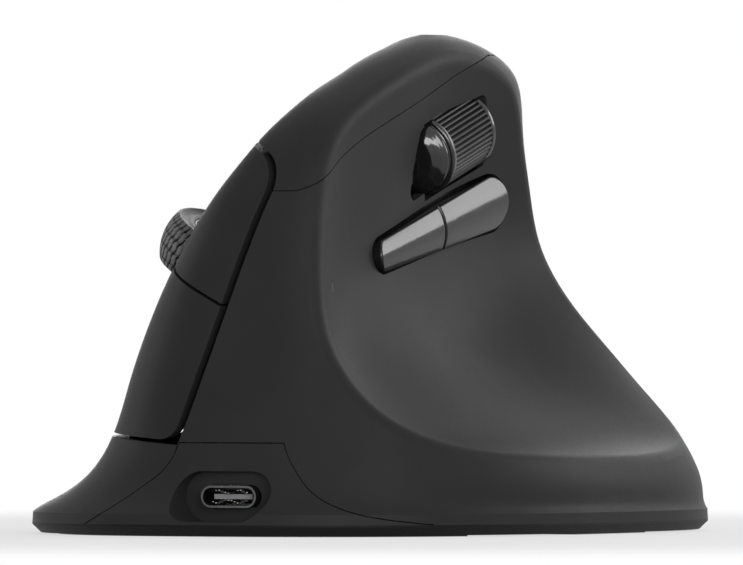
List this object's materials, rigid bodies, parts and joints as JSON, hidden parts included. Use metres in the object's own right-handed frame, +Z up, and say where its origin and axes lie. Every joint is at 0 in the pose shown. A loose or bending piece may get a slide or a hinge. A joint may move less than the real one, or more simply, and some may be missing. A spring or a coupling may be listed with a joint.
{
  "type": "vertical ergonomic mouse",
  "caption": "Right-handed vertical computer mouse with finger buttons, scroll wheel, thumb wheel, side buttons and a charging port.",
  "frame": {"origin": "on the desk, under the middle of the base's bounding box", "axes": "+Z up, -Y towards the charging port at the front, +X towards the thumb side, -X towards the fingers"},
  "size_m": [0.086, 0.116, 0.0725],
  "materials": {
    "shell_soft_touch": "soft-touch dark grey polymer with a fine even grain",
    "base_plastic": "fine spark-textured dark grey plastic",
    "foot_ptfe": "smooth black low-friction strip",
    "gloss_black": "polished black plastic",
    "tyre_rubber": "matte moulded black rubber",
    "rim_plastic": "semi-gloss black plastic",
    "inner_plastic": "moulded black plastic, as ejected",
    "board_green": "solder-masked green laminate",
    "chip_black": "moulded black chip package",
    "switch_black": "moulded black switch case",
    "plunger_white": "off-white plastic",
    "steel": "drawn steel, lightly brushed",
    "plated_steel": "nickel-plated steel",
    "tongue_black": "dark moulded plastic with light contacts",
    "clear_lens": "clear moulded polymer",
    "shield_steel": "tinned shield can",
    "battery_wrap": "grey film-wrapped flat cell",
    "plug_white": "cream plastic connector",
    "ribbon": "amber polyimide ribbon"
  },
  "bodies": {
    "housing": {"base_plate": "base_plastic", "palm_shell": "shell_soft_touch", "thumb_shell": "shell_soft_touch", "port_panel": "shell_soft_touch", "button_pivot_pin": "steel", "inner_frame": "inner_plastic", "button_board": "board_green", "left_switch": "switch_black", "right_switch": "switch_black", "wheel_switch": "switch_black", "thumb_wheel_bracket": "inner_plastic", "thumb_encoder": "switch_black", "forward_switch": "switch_black", "back_switch": "switch_black", "thumb_board": "board_green", "thumb_board_screws": "steel", "indicator_lens": "clear_lens", "main_board": "board_green", "board_screws": "steel", "main_chip": "chip_black", "radio_module": "shield_steel", "battery_plug": "plug_white", "sensor_chip": "chip_black", "sensor_lens": "clear_lens", "usb_shell": "plated_steel", "usb_tongue": "tongue_black", "battery": "battery_wrap", "mode_switch": "switch_black", "pair_switch": "switch_black", "glide_foot_front": "foot_ptfe", "glide_foot_rear": "foot_ptfe", "glide_foot_thumb": "foot_ptfe", "glide_foot_palm": "foot_ptfe", "housing_screws": "steel", "button_cable": "ribbon", "thumb_cable": "ribbon"},
    "left_button_body": {"left_button": "shell_soft_touch", "left_switch_plunger": "plunger_white"},
    "right_button_body": {"right_button": "shell_soft_touch", "right_switch_plunger": "plunger_white"},
    "wheel_cradle_body": {"wheel_cradle": "inner_plastic", "wheel_encoder": "switch_black"},
    "wheel_body": {"wheel_tyre": "tyre_rubber", "wheel_rim": "rim_plastic", "wheel_axle": "steel"},
    "thumb_wheel_body": {"thumb_drum": "tyre_rubber", "thumb_axle": "steel", "thumb_ring_front": "gloss_black", "thumb_ring_rear": "gloss_black"},
    "forward_button_body": {"forward_button": "gloss_black", "forward_switch_plunger": "plunger_white"},
    "back_button_body": {"back_button": "gloss_black", "back_switch_plunger": "plunger_white"},
    "mode_slider_body": {"mode_slider": "gloss_black"},
    "pair_button_body": {"pair_button": "gloss_black"}
  },
  "joints": [
    {"name": "left_button_press", "type": "hinge", "parent": "housing", "child": "left_button_body", "pos_m": [-0.00713, 0.01, 0.04155], "axis": [0.4384, 0, 0.8988], "range_deg": [0, 0.9], "stiffness_Nm_per_rad": 2, "springref_deg": -1.72},
    {"name": "right_button_press", "type": "hinge", "parent": "housing", "child": "right_button_body", "pos_m": [-0.0127, 0.01, 0.03014], "axis": [0.4384, 0, 0.8988], "range_deg": [0, 0.9], "stiffness_Nm_per_rad": 2, "springref_deg": -1.72},
    {"name": "wheel_press", "type": "hinge", "parent": "housing", "child": "wheel_cradle_body", "pos_m": [-0.00432, -0.01, 0.03774], "axis": [0.4384, 0, 0.8988], "range_deg": [0, 1.4], "stiffness_Nm_per_rad": 0.6, "springref_deg": -2.86},
    {"name": "wheel_spin", "type": "hinge", "parent": "wheel_cradle_body", "child": "wheel_body", "pos_m": [-0.0063, -0.027, 0.0387], "axis": [0.4384, 0, 0.8988], "continuous": true},
    {"name": "thumb_wheel_spin", "type": "hinge", "parent": "housing", "child": "thumb_wheel_body", "pos_m": [0.0089, 0.0017, 0.0563], "axis": [0, 0.9563, 0.2924], "continuous": true},
    {"name": "forward_button_press", "type": "slide", "parent": "housing", "child": "forward_button_body", "axis": [-1, 0, 0], "range_m": [0, 0.0005], "stiffness_N_per_m": 900, "springref_m": -0.001},
    {"name": "back_button_press", "type": "slide", "parent": "housing", "child": "back_button_body", "axis": [-1, 0, 0], "range_m": [0, 0.0005], "stiffness_N_per_m": 900, "springref_m": -0.001},
    {"name": "mode_slide", "type": "slide", "parent": "housing", "child": "mode_slider_body", "axis": [1, 0, 0], "range_m": [-0.002, 0.002]},
    {"name": "pair_button_press", "type": "slide", "parent": "housing", "child": "pair_button_body", "axis": [0, 0, 1], "range_m": [0, 0.00025], "stiffness_N_per_m": 900, "springref_m": -0.0005}
  ]
}
